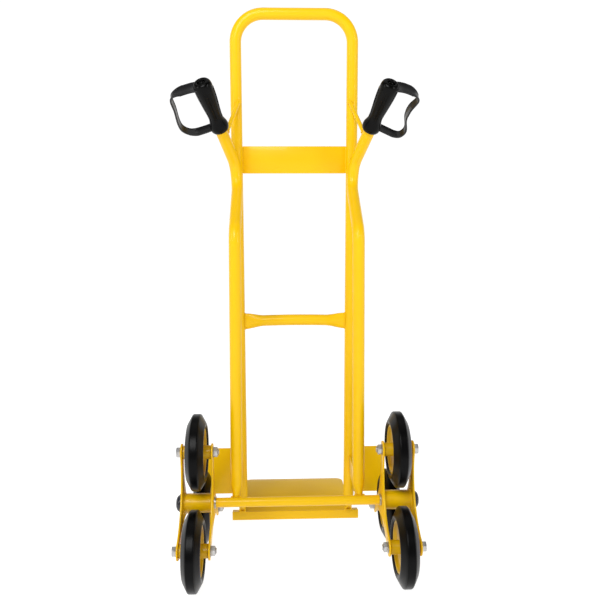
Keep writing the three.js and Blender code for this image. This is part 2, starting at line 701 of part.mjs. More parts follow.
SIDES.forEach(({ side, hand }) => {
  const hub = new THREE.Vector3(hand * WHEEL_X, AXLE_Y, AXLE_Z);
  const plateShift = new THREE.Vector3(hand * PLATE_OFFSET, 0, 0);
  addPiece(`${side}_axle_washer`, facing(hand, washer), zincSteel, axle);
  addPiece(`${side}_axle_cap`, facing(hand, shapes.cap), capPlastic, axle);
  addPiece(`${side}_outer_star`, shapes.star, yellowPaint, hub.clone().add(plateShift));
  addPiece(`${side}_inner_star`, shapes.star, yellowPaint, hub.clone().sub(plateShift));
  addPiece(`${side}_hub_sleeve`, hubSleeve, yellowPaint, hub);
  ARMS.forEach(({ arm, angle }) => {
    const offset = polar(CLUSTER_RADIUS, angle);
    const centre = hub.clone().add(new THREE.Vector3(0, offset.x, offset.y));
    addPiece(`${side}_${arm}_bolt`, facing(hand, shapes.bolt), zincSteel, centre);
    addPiece(`${side}_${arm}_nut`, facing(hand, shapes.nut), zincSteel, centre);
    addPiece(`${side}_${arm}_bush`, shapes.bush, bushPlastic, centre);
    addPiece(`${side}_${arm}_rim`, shapes.rim, yellowPaint, centre);
    addPiece(`${side}_${arm}_tyre`, shapes.tyre, tyreRubber, centre);
  });
});

export default truck;
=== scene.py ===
import bpy
import math
from mathutils import Vector, Matrix


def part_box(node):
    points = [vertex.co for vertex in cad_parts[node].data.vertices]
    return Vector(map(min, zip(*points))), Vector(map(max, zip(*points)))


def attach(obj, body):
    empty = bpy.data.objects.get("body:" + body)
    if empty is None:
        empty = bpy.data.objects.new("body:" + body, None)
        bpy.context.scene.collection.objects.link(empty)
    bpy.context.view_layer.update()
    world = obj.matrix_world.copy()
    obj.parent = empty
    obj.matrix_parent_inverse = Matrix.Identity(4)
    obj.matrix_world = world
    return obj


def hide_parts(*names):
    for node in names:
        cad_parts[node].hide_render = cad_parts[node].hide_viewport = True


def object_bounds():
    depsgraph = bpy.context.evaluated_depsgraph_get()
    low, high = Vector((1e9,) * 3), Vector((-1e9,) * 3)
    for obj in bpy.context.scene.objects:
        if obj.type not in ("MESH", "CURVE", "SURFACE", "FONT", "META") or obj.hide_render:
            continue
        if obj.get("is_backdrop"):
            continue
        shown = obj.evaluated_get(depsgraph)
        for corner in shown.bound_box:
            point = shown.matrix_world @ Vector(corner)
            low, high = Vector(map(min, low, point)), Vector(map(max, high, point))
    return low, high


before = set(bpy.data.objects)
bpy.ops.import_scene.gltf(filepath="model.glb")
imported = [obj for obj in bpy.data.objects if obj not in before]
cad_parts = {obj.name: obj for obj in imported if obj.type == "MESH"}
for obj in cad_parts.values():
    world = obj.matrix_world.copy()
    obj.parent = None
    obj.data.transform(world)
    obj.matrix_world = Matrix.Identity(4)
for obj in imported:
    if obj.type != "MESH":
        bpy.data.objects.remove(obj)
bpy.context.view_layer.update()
mm = 0.001
hands = (("left", -1), ("right", 1))


# ---------------------------------------------------------------- studio
# The truck stands on a plain pale floor in a white studio that is dim
# overhead and behind the camera, with large soft lamps on the camera's side
# and one above. The camera looks at the back of the truck, where the handles
# are, from waist height.

loop_low, loop_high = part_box("loop_frame")
guard_to_leg = 12.8 * mm
loop_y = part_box("left_wheel_guard")[0].y - guard_to_leg

camera_data = bpy.data.cameras.new("camera")
camera_data.sensor_width = 36
camera_data.lens = 40.89
camera_data.clip_start = 0.05
camera_data.clip_end = 60
camera = bpy.data.objects.new("camera", camera_data)
bpy.context.scene.collection.objects.link(camera)
azimuth, elevation, roll = (math.radians(angle) for angle in (-2.08, 8.58, -0.13))
aim = Vector((0.0117, loop_y, 0.53903))
camera_distance = 1.56752
backward = Vector((
    math.sin(azimuth) * math.cos(elevation),
    -math.cos(azimuth) * math.cos(elevation),
    math.sin(elevation),
))
level = Vector((0, 0, 1)).cross(backward).normalized()
upright = backward.cross(level)
right_hand = level * math.cos(roll) + upright * math.sin(roll)
overhead = upright * math.cos(roll) - level * math.sin(roll)
camera_turn = Matrix((right_hand, overhead, backward)).transposed().to_4x4()
camera.matrix_world = Matrix.Translation(aim + backward * camera_distance) @ camera_turn
bpy.context.scene.camera = camera

bpy.ops.object.select_all(action='DESELECT')
bpy.ops.mesh.primitive_plane_add(size=60, location=(0, 0, -0.0002))
floor = bpy.context.object
floor.name = "studio_floor"
floor_paint = bpy.data.materials.new("studio_floor_paint")
floor_paint.use_nodes = True
floor_shader = floor_paint.node_tree.nodes["Principled BSDF"]
floor_shader.inputs["Base Color"].default_value = (0.4, 0.4, 0.4, 1)
floor_shader.inputs["Roughness"].default_value = 0.9
floor_shader.inputs["Specular IOR Level"].default_value = 0.1
floor_shader.inputs["Emission Color"].default_value = (1, 1, 1, 1)
floor_shader.inputs["Emission Strength"].default_value = 0.92
floor.data.materials.append(floor_paint)
floor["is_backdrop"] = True


def soft_lamp(name, place, target, width, height, power):
    """A rectangular soft box of that size and power, turned to face the target."""
    lamp_data = bpy.data.lights.new(name, 'AREA')
    lamp_data.shape = 'RECTANGLE'
    lamp_data.size = width
    lamp_data.size_y = height
    lamp_data.energy = power
    lamp = bpy.data.objects.new(name, lamp_data)
    bpy.context.scene.collection.objects.link(lamp)
    lamp.location = place
    lamp.rotation_euler = (Vector(place) - Vector(target)).to_track_quat('Z', 'Y').to_euler()
    return lamp


soft_lamp("front_soft_box", (-0.7, -2.3, 2.6), (0, 0, 1.0), 1.4, 1.6, 60)
soft_lamp("right_strip", (2.1, -1.6, 1.7), (0, 0, 0.9), 0.5, 1.6, 16)
soft_lamp("left_strip", (-2.2, -1.2, 1.7), (0, 0, 0.9), 0.5, 1.6, 12)
soft_lamp("top_soft_box", (0, 0.4, 3.2), (0, 0, 0.4), 2.2, 2.2, 8)

world = bpy.data.worlds.new("white_studio")
bpy.context.scene.world = world
world.use_nodes = True
sky = world.node_tree
sky_direction = sky.nodes.new("ShaderNodeTexCoord")
sky_axes = sky.nodes.new("ShaderNodeSeparateXYZ")
sky_ramp = sky.nodes.new("ShaderNodeMapRange")
sky_ramp.inputs["From Min"].default_value = -0.35
sky_ramp.inputs["From Max"].default_value = 0.15
sky_ramp.inputs["To Min"].default_value = 0.3
sky_ramp.inputs["To Max"].default_value = 1.05
sky.links.new(sky_direction.outputs["Generated"], sky_axes.inputs["Vector"])
sky.links.new(sky_axes.outputs["Y"], sky_ramp.inputs["Value"])
sky_ceiling = sky.nodes.new("ShaderNodeMapRange")
sky_ceiling.inputs["From Min"].default_value = 0.25
sky_ceiling.inputs["From Max"].default_value = 0.55
sky_ceiling.inputs["To Min"].default_value = 1
sky_ceiling.inputs["To Max"].default_value = 0.2
sky_level = sky.nodes.new("ShaderNodeMath")
sky_level.operation = 'MULTIPLY'
sky.links.new(sky_axes.outputs["Z"], sky_ceiling.inputs["Value"])
sky.links.new(sky_ramp.outputs["Result"], sky_level.inputs[0])
sky.links.new(sky_ceiling.outputs["Result"], sky_level.inputs[1])
sky.links.new(sky_level.outputs["Value"], sky.nodes["Background"].inputs["Strength"])
sky.nodes["Background"].inputs["Color"].default_value = (1, 1, 1, 1)
bpy.context.scene.view_settings.view_transform = 'Standard'


# ---------------------------------------------------------------- loop frame
# One 25 mm steel tube bent to an upside-down U: the two legs and the top
# of the truck. Its feet are pinched flat and cut back behind, and the whole
# frame is sprayed with yellow powder and baked, which leaves a fine ripple.

tube_radius = 12.5 * mm
tube_wall = 1.5 * mm
leg_x = 127.5 * mm
top_z = loop_high.z - tube_radius
foot_z = loop_low.z
weld_gap = 0.3 * mm


def lay_tube(name, corners, radius, sides=36, bend_step=math.radians(5)):
    """A ring at the first corner, extruded along each run and spun round each bend, as on a tube bender."""
    places = [Vector(place) for place, bend in corners]
    heading = (places[1] - places[0]).normalized()
    bpy.ops.object.select_all(action='DESELECT')
    bpy.ops.mesh.primitive_circle_add(vertices=sides, radius=radius)
    piece = bpy.context.object
    piece.name = name
    piece.data.name = name
    piece.data.transform(Matrix.Translation(places[0]) @ heading.to_track_quat('Z', 'Y').to_matrix().to_4x4())
    bpy.ops.object.mode_set(mode='EDIT')
    bpy.ops.mesh.select_all(action='SELECT')
    here = places[0]
    for i in range(1, len(places)):
        arriving = (places[i] - places[i - 1]).normalized()
        bend = corners[i][1] if i < len(places) - 1 else 0
        if not bend:
            bpy.ops.mesh.extrude_region_move(TRANSFORM_OT_translate={"value": places[i] - here})
            here = places[i]
            continue
        leaving = (places[i + 1] - places[i]).normalized()
        turn = arriving.angle(leaving)
        back = bend * math.tan(turn / 2)
        bend_start = places[i] - arriving * back
        bpy.ops.mesh.extrude_region_move(TRANSFORM_OT_translate={"value": bend_start - here})
        hinge = arriving.cross(leaving).normalized()
        pivot = bend_start + hinge.cross(arriving) * bend
        steps = max(3, math.ceil(turn / bend_step))
        bpy.ops.mesh.spin(steps=steps, angle=-turn, center=pivot, axis=hinge)
        here = places[i] + leaving * back
    bpy.ops.mesh.select_all(action='SELECT')
    bpy.ops.mesh.remove_doubles(threshold=0.00002)
    bpy.ops.mesh.normals_make_consistent(inside=False)
    bpy.ops.object.mode_set(mode='OBJECT')
    return piece


def finish_modifier(piece, kind, **settings):
    """Adds a modifier with these settings and applies it."""
    modifier = piece.modifiers.new(kind.lower(), kind)
    for setting, value in settings.items():
        setattr(modifier, setting, value)
    bpy.ops.object.select_all(action='DESELECT')
    piece.select_set(True)
    bpy.context.view_layer.objects.active = piece
    bpy.ops.object.modifier_apply(modifier=modifier.name)


def smooth_faces(piece, degrees=35):
    bpy.ops.object.select_all(action='DESELECT')
    piece.select_set(True)
    bpy.context.view_layer.objects.active = piece
    bpy.ops.object.shade_smooth_by_angle(angle=math.radians(degrees))


def fit_piece(piece, body, slot, material, *nodes):
    """Gives a finished piece its material and its body, and hides the CAD nodes that it stands for."""
    piece.data.materials.clear()
    piece.data.materials.append(material)
    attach(piece, body)
    if nodes:
        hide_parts(*nodes)
    return piece


def make_powder_coat(name, colour, deep, ripple):
    """Baked powder coat: an even colour with slight clouds, a fine orange-peel ripple and a clear skin."""
    paint = bpy.data.materials.new(name)
    paint.use_nodes = True
    tree = paint.node_tree
    shader = tree.nodes["Principled BSDF"]
    shader.inputs["Specular IOR Level"].default_value = 0.2
    shader.inputs["Coat Weight"].default_value = 0.16
    shader.inputs["Coat Roughness"].default_value = 0.09
    place = tree.nodes.new("ShaderNodeTexCoord")
    clouds = tree.nodes.new("ShaderNodeTexNoise")
    clouds.inputs["Scale"].default_value = 14
    clouds.inputs["Detail"].default_value = 3
    tint = tree.nodes.new("ShaderNodeMix")
    tint.data_type = 'RGBA'
    tint.inputs["A"].default_value = (*deep, 1)
    tint.inputs["B"].default_value = (*colour, 1)
    tree.links.new(place.outputs["Object"], clouds.inputs["Vector"])
    tree.links.new(clouds.outputs["Fac"], tint.inputs["Factor"])
    tree.links.new(tint.outputs["Result"], shader.inputs["Base Color"])
    gloss = tree.nodes.new("ShaderNodeMapRange")
    gloss.inputs["From Min"].default_value = 0.3
    gloss.inputs["From Max"].default_value = 0.7
    gloss.inputs["To Min"].default_value = 0.34
    gloss.inputs["To Max"].default_value = 0.44
    tree.links.new(clouds.outputs["Fac"], gloss.inputs["Value"])
    tree.links.new(gloss.outputs["Result"], shader.inputs["Roughness"])
    peel = tree.nodes.new("ShaderNodeTexNoise")
    peel.inputs["Scale"].default_value = 520
    peel.inputs["Detail"].default_value = 2
    bump = tree.nodes.new("ShaderNodeBump")
    bump.inputs["Strength"].default_value = ripple
    bump.inputs["Distance"].default_value = 0.0002
    tree.links.new(place.outputs["Object"], peel.inputs["Vector"])
    tree.links.new(peel.outputs["Fac"], bump.inputs["Height"])
    tree.links.new(bump.outputs["Normal"], shader.inputs["Normal"])
    return paint


yellow_paint = make_powder_coat("yellow_powder_coat", (0.89, 0.55, 0.0), (0.87, 0.51, 0.0), 0.18)


def pinch_foot(piece):
    """The last 50 mm of each leg, squeezed thinner across, drawn out backward and less deep in front."""
    pinch_top, pinch_rise = 69 * mm, 23 * mm
    for vertex in piece.data.vertices:
        squeeze = min(max((pinch_top - vertex.co.z) / pinch_rise, 0), 1)
        squeeze = squeeze * squeeze * (3 - 2 * squeeze)
        middle = math.copysign(leg_x, vertex.co.x)
        vertex.co.x = middle + (vertex.co.x - middle) * (1 - 0.36 * squeeze)
        deepen = -0.2 if vertex.co.y > loop_y else 0.28
        vertex.co.y = loop_y + (vertex.co.y - loop_y) * (1 + deepen * squeeze)


foot_rings = [foot_z, 30 * mm, 46 * mm, 50 * mm, 54 * mm, 58 * mm, 62 * mm, 66 * mm, 70 * mm, 78 * mm]
left_leg = [((-leg_x, loop_y, z), 0) for z in foot_rings]
right_leg = [((leg_x, loop_y, z), 0) for z in reversed(foot_rings)]
bends = [((-leg_x, loop_y, top_z), 60 * mm), ((leg_x, loop_y, top_z), 60 * mm)]
loop_tube = lay_tube("loop_tube", left_leg + bends + right_leg, tube_radius)
pinch_foot(loop_tube)
bpy.ops.object.mode_set(mode='EDIT')
bpy.ops.mesh.select_all(action='SELECT')
cut_normal = Vector((0, -20, -23.7)).normalized()
bpy.ops.mesh.bisect(plane_co=(0, loop_y - 17 * mm, 42 * mm), plane_no=cut_normal, clear_outer=True)
bpy.ops.object.mode_set(mode='OBJECT')
finish_modifier(loop_tube, 'SOLIDIFY', thickness=tube_wall, offset=-1)
smooth_faces(loop_tube)
fit_piece(loop_tube, "frame", "yellow_paint", yellow_paint, "loop_frame")


# ---------------------------------------------------------------- welds
# Beads of weld metal where the tubes, plates and rods meet. Each is laid by
# hand in small overlapping ripples, and is painted over with the frame.

def lay_bead(name, path, radius=1.7 * mm, body="frame", closed=False):
    """A thin rod of weld metal along the path, rippled along its length, its ends drawn down."""
    path = [Vector(place) for place in path]
    if closed:
        path = path + [path[0]]
    reach = [0.0]
    for i in range(1, len(path)):
        reach.append(reach[-1] + (path[i] - path[i - 1]).length)
    spacing = 1.1 * mm
    count = max(8, round(reach[-1] / spacing))
    bpy.ops.object.select_all(action='DESELECT')
    bpy.ops.curve.primitive_nurbs_path_add()
    bead = bpy.context.object
    bead.name = name
    bead.data.splines.clear()
    spline = bead.data.splines.new('POLY')
    stops = count if closed else count + 1
    spline.points.add(stops - 1)
    spline.use_cyclic_u = closed
    for k in range(stops):
        along = reach[-1] * k / count
        i = next((j for j in range(1, len(path)) if reach[j] >= along - 1e-9), len(path) - 1)
        place = path[i - 1].lerp(path[i], (along - reach[i - 1]) / ((reach[i] - reach[i - 1]) or 1))
        spline.points[k].co = (*place, 1)
        swell = 1 + 0.2 * math.sin(k * 2.1) + 0.07 * math.sin(k * 0.73)
        spline.points[k].radius = swell if closed or 0 < k < count else 0.45
    bead.data.dimensions = '3D'
    bead.data.bevel_depth = radius
    bead.data.bevel_resolution = 2
    bead.data.use_fill_caps = True
    bpy.ops.object.convert(target='MESH')
    bead = bpy.context.object
    bead.data.name = name
    smooth_faces(bead, 70)
    return fit_piece(bead, body, "yellow_paint", yellow_paint)


def ring_path(centre, across, upward, width, height, count=28):
    """Points round an oval: half its width across and half its height upward."""
    turns = [2 * math.pi * i / count for i in range(count)]
    centre, across, upward = Vector(centre), Vector(across), Vector(upward)
    return [centre + across * width * math.cos(turn) + upward * height * math.sin(turn) for turn in turns]


# ---------------------------------------------------------------- cross plate
# Flat 3 mm steel plate welded between the legs below the top window. The
# load leans on it.

def cut_plate(name, outline, push, soften=0.5 * mm):
    """A sheet cut to the outline, pushed out to its thickness, its edges rounded by the coating."""
    bpy.ops.object.select_all(action='DESELECT')
    bpy.ops.mesh.primitive_circle_add(vertices=len(outline), radius=0.1, fill_type='NGON')
    piece = bpy.context.object
    piece.name = name
    piece.data.name = name
    for vertex, place in zip(piece.data.vertices, outline):
        vertex.co = place
    bpy.ops.object.mode_set(mode='EDIT')
    bpy.ops.mesh.select_all(action='SELECT')
    bpy.ops.mesh.extrude_region_move(TRANSFORM_OT_translate={"value": Vector(push)})
    bpy.ops.mesh.select_all(action='SELECT')
    bpy.ops.mesh.normals_make_consistent(inside=False)
    bpy.ops.object.mode_set(mode='OBJECT')
    if soften:
        finish_modifier(piece, 'BEVEL', width=soften, segments=2, limit_method='ANGLE', angle_limit=math.radians(40))
    smooth_faces(piece)
    return piece


plate_low, plate_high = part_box("cross_plate")
plate_outline = [
    (plate_low.x, plate_low.y, plate_low.z), (plate_high.x, plate_low.y, plate_low.z),
    (plate_high.x, plate_low.y, plate_high.z), (plate_low.x, plate_low.y, plate_high.z),
]
cross_plate = cut_plate("back_plate", plate_outline, (0, plate_high.y - plate_low.y, 0))
fit_piece(cross_plate, "frame", "yellow_paint", yellow_paint, "cross_plate")
for hand, end in (("left", plate_low.x), ("right", plate_high.x)):
    for side, y in (("back", plate_low.y - 0.4 * mm), ("front", plate_high.y + 0.4 * mm)):
        bead_path = [(end, y, plate_low.z + 1 * mm), (end, y, plate_high.z - 1 * mm)]
        lay_bead(hand + "_back_plate_weld_" + side, bead_path, 1.6 * mm)


# ---------------------------------------------------------------- crossbar
# Tube between the legs at knee height. Its ends are pressed flat and tall so
# that they lie on the legs, and are welded round.

bar_z = 493 * mm
bar_drop = 2.7 * mm
bar_flat = 45 * mm
bar_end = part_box("crossbar")[1].x
bar_steps = [1, 0.97, 0.93, 0.89, 0.85, 0.81, 0.77, 0.73, 0.69, 0.65, 0.61, 0.57, 0.45, 0.3, 0.15]
bar_stops = [-bar_end * step for step in bar_steps] + [0] + [bar_end * step for step in reversed(bar_steps)]
crossbar = lay_tube("crossbar_tube", [((x, loop_y, bar_z), 0) for x in bar_stops], tube_radius)
for vertex in crossbar.data.vertices:
    press = min(max((abs(vertex.co.x) - (bar_end - bar_flat)) / bar_flat, 0), 1)
    press = press * press * (3 - 2 * press)
    vertex.co.y = loop_y + (vertex.co.y - loop_y) * (1 - 0.6 * press)
    rise = (vertex.co.z - bar_z) * (1 + 0.48 * press)
    vertex.co.z = bar_z + rise - bar_drop * (vertex.co.x / bar_end) ** 2
finish_modifier(crossbar, 'SOLIDIFY', thickness=tube_wall, offset=-1)
smooth_faces(crossbar)
fit_piece(crossbar, "frame", "yellow_paint", yellow_paint, "crossbar")
for hand, sign in hands:
    bar_tip = (sign * bar_end, loop_y, bar_z - bar_drop)
    bead_path = ring_path(bar_tip, (0, 1, 0), (0, 0, 1), 5.4 * mm, 18.2 * mm, 40)
    lay_bead(hand + "_crossbar_weld", bead_path, 1.5 * mm, closed=True)


# ---------------------------------------------------------------- rear rails and handle tubes
# One 25 mm tube on each side: up from the axle behind the leg, forward to
# touch the leg, then back and outward as the handle. Its foot is pinched
# narrow and welded to the axle tube.

rail_y = loop_y - 160 * mm
contact_y = loop_y - 25.8 * mm
rail_foot = Vector((131.4 * mm, rail_y, 126 * mm))
rail_elbow = Vector((126 * mm, rail_y, 702 * mm))
handle_up = Vector((26.5, -70.5, 71.5)).normalized()
handle_corner = Vector((130.2 * mm, contact_y, 843.8 * mm))
pinch_rings = [0, 8, 16, 24, 27, 30, 33, 36, 39, 42, 45, 50]
rail_corners = [(rail_foot.lerp(rail_elbow, rise * mm / (rail_elbow.z - rail_foot.z)), 0) for rise in pinch_rings]
rail_corners += [(rail_elbow, 45 * mm), (Vector((126 * mm, contact_y, 796 * mm)), 45 * mm)]
rail_corners += [(handle_corner, 45 * mm), (handle_corner + handle_up * 208 * mm, 0)]


def other_side(place, sign):
    """The same place on the right (1) or on the left (-1) of the truck."""
    return Vector((place[0] * sign, place[1], place[2]))


def pinch_rail(piece, sign):
    """The foot of the rail, squeezed thinner across, deeper front to back and set back to the axle."""
    pinch_top, pinch_rise = 168 * mm, 20 * mm
    for vertex in piece.data.vertices:
        squeeze = min(max((pinch_top - vertex.co.z) / pinch_rise, 0), 1)
        squeeze = squeeze * squeeze * (3 - 2 * squeeze)
        middle = sign * rail_foot.lerp(rail_elbow, (vertex.co.z - rail_foot.z) / (rail_elbow.z - rail_foot.z)).x
        if squeeze > 0:
            vertex.co.x = middle + (vertex.co.x - middle) * (1 - 0.3 * squeeze)
            vertex.co.y = rail_y - 3 * mm * squeeze + (vertex.co.y - rail_y) * (1 + 0.36 * squeeze)


axle_low, axle_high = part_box("axle_tube")
axle = (axle_low + axle_high) / 2
cope_radius = 10.4 * mm
seam_radius = 10.8 * mm
for hand, sign in hands:
    rail = lay_tube(hand + "_rail_tube", [(other_side(place, sign), bend) for place, bend in rail_corners], tube_radius)
    pinch_rail(rail, sign)
    finish_modifier(rail, 'SOLIDIFY', thickness=tube_wall, offset=-1)
    bpy.ops.object.select_all(action='DESELECT')
    bpy.ops.mesh.primitive_cylinder_add(vertices=48, radius=cope_radius, depth=60 * mm)
    cope = bpy.context.object
    cope.data.transform(Matrix.Translation((sign * rail_foot.x, axle.y, axle.z)) @ Matrix.Rotation(math.pi / 2, 4, 'Y'))
    finish_modifier(rail, 'BOOLEAN', operation='DIFFERENCE', object=cope, solver='EXACT')
    bpy.data.objects.remove(cope)
    smooth_faces(rail)
    fit_piece(rail, "frame", "yellow_paint", yellow_paint, hand + "_rear_rail")
    for side, shift in (("inner", -8.9), ("outer", 8.9)):
        seam = []
        for k in range(12):
            turn = math.radians(-52 + 118 * k / 11)
            y, z = axle.y + seam_radius * math.cos(turn), axle.z + seam_radius * math.sin(turn)
            seam.append((sign * (rail_foot.x + shift * mm), y, z))
        lay_bead(hand + "_rail_foot_weld_" + side, seam, 2.1 * mm)
    for side, shift in (("inner", -4.6), ("outer", 4.6)):
        seam = [(sign * (leg_x - 1 * mm + shift * mm), contact_y + 12.9 * mm, z * mm) for z in (812, 822, 834, 844)]
        lay_bead(hand + "_rail_seam_" + side, seam, 1.9 * mm)


# ---------------------------------------------------------------- handle braces
# A 9 mm rod on each side that props the handle tube from the leg, welded at
# both ends.

def turn_piece(name, profile, origin, axis, outward, segments=48):
    """A closed profile of (radius, along) in millimetres, spun a full turn about the axis."""
    origin, axis, outward = Vector(origin), Vector(axis).normalized(), Vector(outward).normalized()
    bpy.ops.object.select_all(action='DESELECT')
    bpy.ops.mesh.primitive_circle_add(vertices=len(profile), radius=0.1)
    piece = bpy.context.object
    piece.name = name
    piece.data.name = name
    for vertex, (radius, along) in zip(piece.data.vertices, profile):
        vertex.co = origin + outward * radius * mm + axis * along * mm
    bpy.ops.object.mode_set(mode='EDIT')
    bpy.ops.mesh.select_all(action='SELECT')
    bpy.ops.mesh.spin(steps=segments, angle=2 * math.pi, center=origin, axis=axis)
    bpy.ops.mesh.select_all(action='SELECT')
    bpy.ops.mesh.remove_doubles(threshold=0.00001)
    bpy.ops.mesh.delete_loose(use_verts=True, use_edges=True, use_faces=False)
    bpy.ops.mesh.select_all(action='SELECT')
    bpy.ops.mesh.normals_make_consistent(inside=False)
    bpy.ops.object.mode_set(mode='OBJECT')
    return piece


brace_radius, brace_bead = 4.5, 4.7 * mm
brace_top = Vector((122.3 * mm, loop_y - 12 * mm, 978 * mm))
brace_foot = Vector((145.2 * mm, loop_y - 79.5 * mm, 905.5 * mm))
for hand, sign in hands:
    top, foot = other_side(brace_top, sign), other_side(brace_foot, sign)
    rod_way = (foot - top).normalized()
    side_way = rod_way.orthogonal().normalized()
    other_way = rod_way.cross(side_way)
    rod_length = (foot - top).length / mm
    rod_profile = [(0, -2), (brace_radius, -2), (brace_radius, rod_length - 3), (0, rod_length - 3)]
    brace = turn_piece(hand + "_brace_rod", rod_profile, top, rod_way, side_way, 28)
    smooth_faces(brace)
    fit_piece(brace, "frame", "yellow_paint", yellow_paint, hand + "_handle_brace")
    for end, centre in (("top", top + rod_way * 1.2 * mm), ("foot", foot - rod_way * 6 * mm)):
        bead_path = ring_path(centre, side_way, other_way, brace_bead, brace_bead, 20)
        lay_bead(hand + "_brace_" + end + "_weld", bead_path, 1.4 * mm, closed=True)


# ---------------------------------------------------------------- grips
# Moulded rubber grips pushed on the ends of the handle tubes: a bulbous
# collar, a slim neck and a swelling end with a dished tip. A strip of fine
# ribs runs along the inner side of each.

grip_foot = handle_corner + handle_up * 99 * mm
handle_out = (Vector((1, 0, 0)) - handle_up * handle_up.x).normalized()
handle_across = handle_out.cross(handle_up)
grip_profile = [
    (12.8, 0), (15.2, 0), (17.2, 1.3), (18.7, 4), (19.5, 8), (19.6, 11), (19.0, 15), (17.5, 19.5), (16.0, 23.5),
    (14.9, 28), (14.3, 33), (14.3, 38), (15.0, 47), (16.2, 58), (17.5, 72), (18.6, 85), (19.1, 94), (19.3, 102),
    (19.1, 108), (18.5, 112.5), (17.2, 116), (15.2, 118.4), (12.8, 119.7), (10.6, 120), (9.0, 119.6), (8.2, 118.2),
    (7.8, 114), (7.0, 113.2), (3, 113), (0, 113), (0, 111), (12.8, 111),
]


def make_rubber(name, colour, roughness, grain, grain_size, specular=0.25):
    """Moulded rubber or plastic: one dark colour with a slight bloom and a fine grain."""
    rubber = bpy.data.materials.new(name)
    rubber.use_nodes = True
    tree = rubber.node_tree
    shader = tree.nodes["Principled BSDF"]
    shader.inputs["Specular IOR Level"].default_value = specular
    place = tree.nodes.new("ShaderNodeTexCoord")
    bloom = tree.nodes.new("ShaderNodeTexNoise")
    bloom.inputs["Scale"].default_value = 38
    bloom.inputs["Detail"].default_value = 4
    shade = tree.nodes.new("ShaderNodeMix")
    shade.data_type = 'RGBA'
    shade.inputs["A"].default_value = (*(channel * 0.75 for channel in colour), 1)
    shade.inputs["B"].default_value = (*(channel * 1.3 for channel in colour), 1)
    dull = tree.nodes.new("ShaderNodeMapRange")
    dull.inputs["To Min"].default_value = roughness - 0.06
    dull.inputs["To Max"].default_value = roughness + 0.06
    grains = tree.nodes.new("ShaderNodeTexNoise")
    grains.inputs["Scale"].default_value = grain_size
    grains.inputs["Detail"].default_value = 3
    bump = tree.nodes.new("ShaderNodeBump")
    bump.inputs["Strength"].default_value = grain
    bump.inputs["Distance"].default_value = 0.0003
    tree.links.new(place.outputs["Object"], bloom.inputs["Vector"])
    tree.links.new(place.outputs["Object"], grains.inputs["Vector"])
    tree.links.new(bloom.outputs["Fac"], shade.inputs["Factor"])
    tree.links.new(bloom.outputs["Fac"], dull.inputs["Value"])
    tree.links.new(shade.outputs["Result"], shader.inputs["Base Color"])
    tree.links.new(dull.outputs["Result"], shader.inputs["Roughness"])
    tree.links.new(grains.outputs["Fac"], bump.inputs["Height"])
    tree.links.new(bump.outputs["Normal"], shader.inputs["Normal"])
    return rubber


grip_rubber = make_rubber("grip_rubber", (0.001, 0.001, 0.0008), 0.24, 0.12, 900, 0.12)


def fine_profile(profile, start, stop, step):
    """The profile with extra points between two heights, so that ribs can be raised there."""
    fine = []
    for (r0, a0), (r1, a1) in zip(profile, profile[1:] + profile[:1]):
        fine.append((r0, a0))
        if start <= a0 < stop and a1 > a0 and r0 > 13:
            parts = max(1, round((a1 - a0) / step))
            fine += [(r0 + (r1 - r0) * k / parts, a0 + (a1 - a0) * k / parts) for k in range(1, parts)]
    return fine


for hand, sign in hands:
    up, out, across = (other_side(way, sign) for way in (handle_up, handle_out, handle_across))
    foot = other_side(grip_foot, sign)
    grip = turn_piece(hand + "_rubber_grip", fine_profile(grip_profile, 28, 102, 0.8), foot, up, out, 72)
    for vertex in grip.data.vertices:
        arm = vertex.co - foot
        along = arm.dot(up)
        spoke = arm - up * along
        if spoke.length < 13.5 * mm or not 30 * mm < along < 102 * mm:
            continue
        inward = (-out * 0.94 - across * 0.34).normalized().dot(spoke.normalized())
        strip = min(max((inward - 0.8) / 0.1, 0), 1)
        rib = max(0.0, math.sin(along / (3.2 * mm) * 2 * math.pi)) ** 0.6
        vertex.co += spoke.normalized() * strip * (rib * 1.1 - 0.4) * mm
    smooth_faces(grip, 50)
    fit_piece(grip, "frame", "grip_rubber", grip_rubber, hand + "_grip")


# ---------------------------------------------------------------- hand guards
# A moulded plastic strap from the end of each grip, out and round the
# knuckles, back to its collar. Its faces are slightly hollow between two
# raised edges. The right one is drawn in at its waist.

guard_origin = handle_corner + handle_up * 110 * mm
guard_lines = {
    "left": [
        (10, 99.5), (23, 100.3), (38, 99.3), (57, 97), (70, 87.5), (72.3, 61), (76.8, 30), (75, 12), (64, 0),
        (50, -4), (34, -3), (14, 0),
    ],
    "right": [
        (10, 101.5), (23, 103.2), (37, 102.5), (55, 98), (66, 86), (59.5, 62), (60, 38), (71, 11), (66, -5),
        (53, -8), (36, -4.5), (14, 1),
    ],
}
guard_plastic = make_rubber("guard_plastic", (0.007, 0.007, 0.0077), 0.3, 0.15, 1100, 0.38)


def smooth_line(points, per_span):
    """A curve through the points, with that many steps in each span."""
    line = []
    for i in range(len(points) - 1):
        p = [Vector(points[min(max(k, 0), len(points) - 1)]) for k in (i - 1, i, i + 1, i + 2)]
        for k in range(per_span):
            t = k / per_span
            line.append(0.5 * (2 * p[1] + (p[2] - p[0]) * t + (2 * p[0] - 5 * p[1] + 4 * p[2] - p[3]) * t ** 2
                               + (3 * p[1] - p[0] - 3 * p[2] + p[3]) * t ** 3))
    return line + [Vector(points[-1])]


